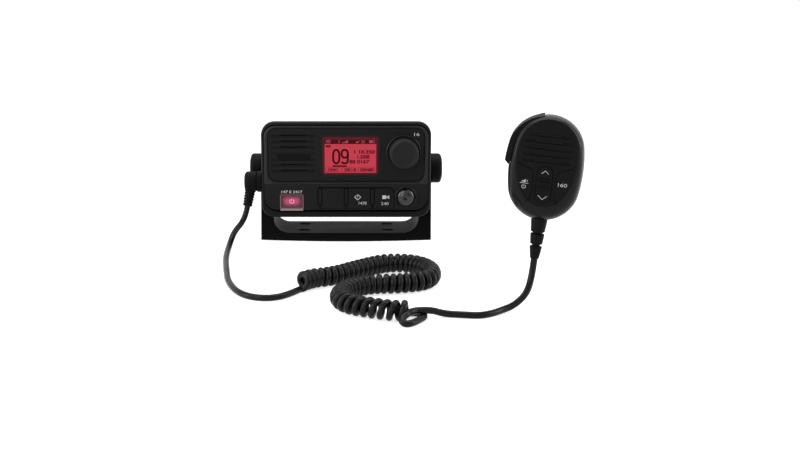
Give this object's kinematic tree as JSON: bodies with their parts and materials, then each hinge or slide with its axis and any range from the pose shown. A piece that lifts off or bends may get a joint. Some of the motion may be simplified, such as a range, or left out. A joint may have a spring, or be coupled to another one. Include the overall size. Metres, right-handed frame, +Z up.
{
  "type": "vhf marine radio",
  "caption": "Fixed-mount marine radio on a U-shaped gimbal bracket, with display, dial, guarded button, and a fist microphone on a curly cord.",
  "frame": {"origin": "middle of the bracket's four mounting slots, on the underside of its base", "axes": "+X to the right of the face, +Y from the reader towards the back of the radio, +Z up out of the mounting surface"},
  "size_m": [0.31, 0.3685, 0.1604],
  "materials": {
    "bracket_nylon": "moulded glass-filled nylon, fine satin grain",
    "black_rubber": "moulded rubber",
    "cast_aluminium": "black powder-coated die casting",
    "stainless_steel": "plain turned stainless steel",
    "insert_brass": "turned brass insert",
    "housing_plastic": "moulded polycarbonate blend, fine satin grain",
    "panel_plastic": "moulded, fine matt grain",
    "key_plastic": "satin moulded key caps",
    "divider_grey": "pale grey pad-printed insert",
    "display_lens": "clear acrylic lens",
    "display_red": "red back-lit liquid crystal panel",
    "speaker_steel": "zinc-plated pressed basket, black",
    "speaker_cone": "polypropylene cone",
    "circuit_board": "green solder resist",
    "encoder_metal": "plated encoder can",
    "dial_plastic": "moulded dial with a soft-touch face",
    "ring_grey": "satin dark-grey trim ring",
    "knob_metal": "dark anodised, turned face",
    "guard_clear": "clear polycarbonate flap",
    "lip_silver": "satin aluminium strip",
    "button_red": "translucent red button, lit from behind",
    "socket_nickel": "nickel-plated brass",
    "plug_plastic": "moulded plug body",
    "cord_jacket": "polyurethane cord jacket",
    "mic_shell_plastic": "polished moulded shell",
    "mic_face_plastic": "matt moulded inlay",
    "knob_plastic": "moulded plain knob"
  },
  "bodies": {
    "bracket": {"gimbal_bracket": "bracket_nylon", "friction_washers": "black_rubber", "cord_coil": "cord_jacket", "cord_plug_lead": "cord_jacket", "cord_mic_lead": "cord_jacket"},
    "radio": {"rear_chassis": "cast_aluminium", "chassis_screws": "stainless_steel", "gimbal_inserts": "insert_brass", "front_gasket": "black_rubber", "front_bezel": "housing_plastic", "front_panel": "panel_plastic", "divider_inserts": "divider_grey", "keypad_mat": "black_rubber", "lcd_window": "display_lens", "lcd_module": "display_red", "speaker_driver": "speaker_steel", "speaker_cone": "speaker_cone", "main_board": "circuit_board", "channel_encoder": "encoder_metal", "dial_ring": "ring_grey", "volume_encoder": "encoder_metal", "volume_ring": "ring_grey", "button_lamp": "circuit_board", "guard_hinge_pin": "stainless_steel", "mic_socket": "socket_nickel", "elbow_plug": "plug_plastic", "plug_coupling_ring": "plug_plastic", "plug_boot": "black_rubber", "antenna_socket": "socket_nickel", "power_socket": "plug_plastic"},
    "left_knob": {"left_tilt_knob": "knob_plastic", "left_tilt_stud": "stainless_steel"},
    "right_knob": {"right_tilt_knob": "knob_plastic", "right_tilt_stud": "stainless_steel"},
    "channel_push": {"channel_plunger": "dial_plastic"},
    "channel_turn": {"channel_dial": "dial_plastic", "channel_shaft": "stainless_steel"},
    "volume": {"volume_knob": "knob_metal", "volume_shaft": "stainless_steel"},
    "alert": {"alert_button": "button_red"},
    "guard": {"guard_flap": "guard_clear", "guard_lip": "lip_silver"},
    "key_1": {"soft_key_1": "key_plastic"},
    "key_2": {"soft_key_2": "key_plastic"},
    "key_3": {"soft_key_3": "key_plastic"},
    "microphone": {"mic_front_shell": "mic_shell_plastic", "mic_rear_shell": "mic_shell_plastic", "mic_face_panel": "mic_face_plastic", "mic_seal": "black_rubber", "mic_capsule": "encoder_metal", "mic_board": "circuit_board", "mic_hang_stud": "stainless_steel", "mic_screws": "stainless_steel", "mic_boot": "black_rubber", "ptt_pin": "stainless_steel", "rocker_pin": "stainless_steel"},
    "talk_bar": {"ptt_button": "mic_shell_plastic"},
    "rocker": {"rocker_key": "key_plastic"},
    "mic_left": {"mic_left_key": "mic_face_plastic"},
    "mic_right": {"mic_right_key": "mic_face_plastic"}
  },
  "joints": [
    {"name": "radio_tilt", "type": "hinge", "parent": "bracket", "child": "radio", "pos_m": [0, 0, 0.0685], "axis": [1, 0, 0], "range_deg": [-15, 12], "deforming": ["cord_plug_lead"]},
    {"name": "left_knob_turn", "type": "hinge", "parent": "radio", "child": "left_knob", "pos_m": [-0.0755, 0, 0.0685], "axis": [-1, 0, 0], "continuous": true},
    {"name": "right_knob_turn", "type": "hinge", "parent": "radio", "child": "right_knob", "pos_m": [0.0755, 0, 0.0685], "axis": [1, 0, 0], "continuous": true},
    {"name": "dial_push", "type": "slide", "parent": "radio", "child": "channel_push", "axis": [0, 1, 0], "range_m": [0, 0.001], "stiffness_N_per_m": 2000, "springref_m": -0.0006},
    {"name": "dial_turn", "type": "hinge", "parent": "channel_push", "child": "channel_turn", "pos_m": [0.0558, -0.045, 0.0924], "axis": [0, -1, 0], "continuous": true},
    {"name": "volume_turn", "type": "hinge", "parent": "radio", "child": "volume", "pos_m": [0.0582, -0.044, 0.0485], "axis": [0, -1, 0], "continuous": true},
    {"name": "alert_press", "type": "slide", "parent": "radio", "child": "alert", "axis": [0, 1, 0], "range_m": [0, 0.0012], "stiffness_N_per_m": 1500, "springref_m": -0.0006},
    {"name": "guard_lift", "type": "hinge", "parent": "radio", "child": "guard", "pos_m": [-0.053, -0.04355, 0.0506], "axis": [-1, 0, 0], "range_deg": [0, 90], "stiffness_Nm_per_rad": 0.004, "springref_deg": -20.05},
    {"name": "key_1_press", "type": "slide", "parent": "radio", "child": "key_1", "axis": [0, 1, 0], "range_m": [0, 0.0009], "stiffness_N_per_m": 1800, "springref_m": -0.0005},
    {"name": "key_2_press", "type": "slide", "parent": "radio", "child": "key_2", "axis": [0, 1, 0], "range_m": [0, 0.0009], "stiffness_N_per_m": 1800, "springref_m": -0.0005},
    {"name": "key_3_press", "type": "slide", "parent": "radio", "child": "key_3", "axis": [0, 1, 0], "range_m": [0, 0.0009], "stiffness_N_per_m": 1800, "springref_m": -0.0005},
    {"name": "mic_lift", "type": "slide", "parent": "bracket", "child": "microphone", "axis": [0, 0, 1], "range_m": [0, 0.04], "deforming": ["cord_mic_lead"]},
    {"name": "talk_press", "type": "hinge", "parent": "microphone", "child": "talk_bar", "pos_m": [0.15702, -0.23594, 0.15618], "axis": [-0.1736, -0.9848, 0], "range_deg": [0, 3], "stiffness_Nm_per_rad": 2, "springref_deg": -1.72},
    {"name": "rocker_tip", "type": "hinge", "parent": "microphone", "child": "rocker", "pos_m": [0.16035, -0.24628, 0.10524], "axis": [0.9811, -0.173, -0.0872], "range_deg": [-4, 4], "stiffness_Nm_per_rad": 0.4},
    {"name": "mic_left_press", "type": "slide", "parent": "microphone", "child": "mic_left", "axis": [0.1736, 0.9848, 0], "range_m": [0, 0.0008], "stiffness_N_per_m": 1500, "springref_m": -0.0005},
    {"name": "mic_right_press", "type": "slide", "parent": "microphone", "child": "mic_right", "axis": [0.1736, 0.9848, 0], "range_m": [0, 0.0008], "stiffness_N_per_m": 1500, "springref_m": -0.0005}
  ]
}
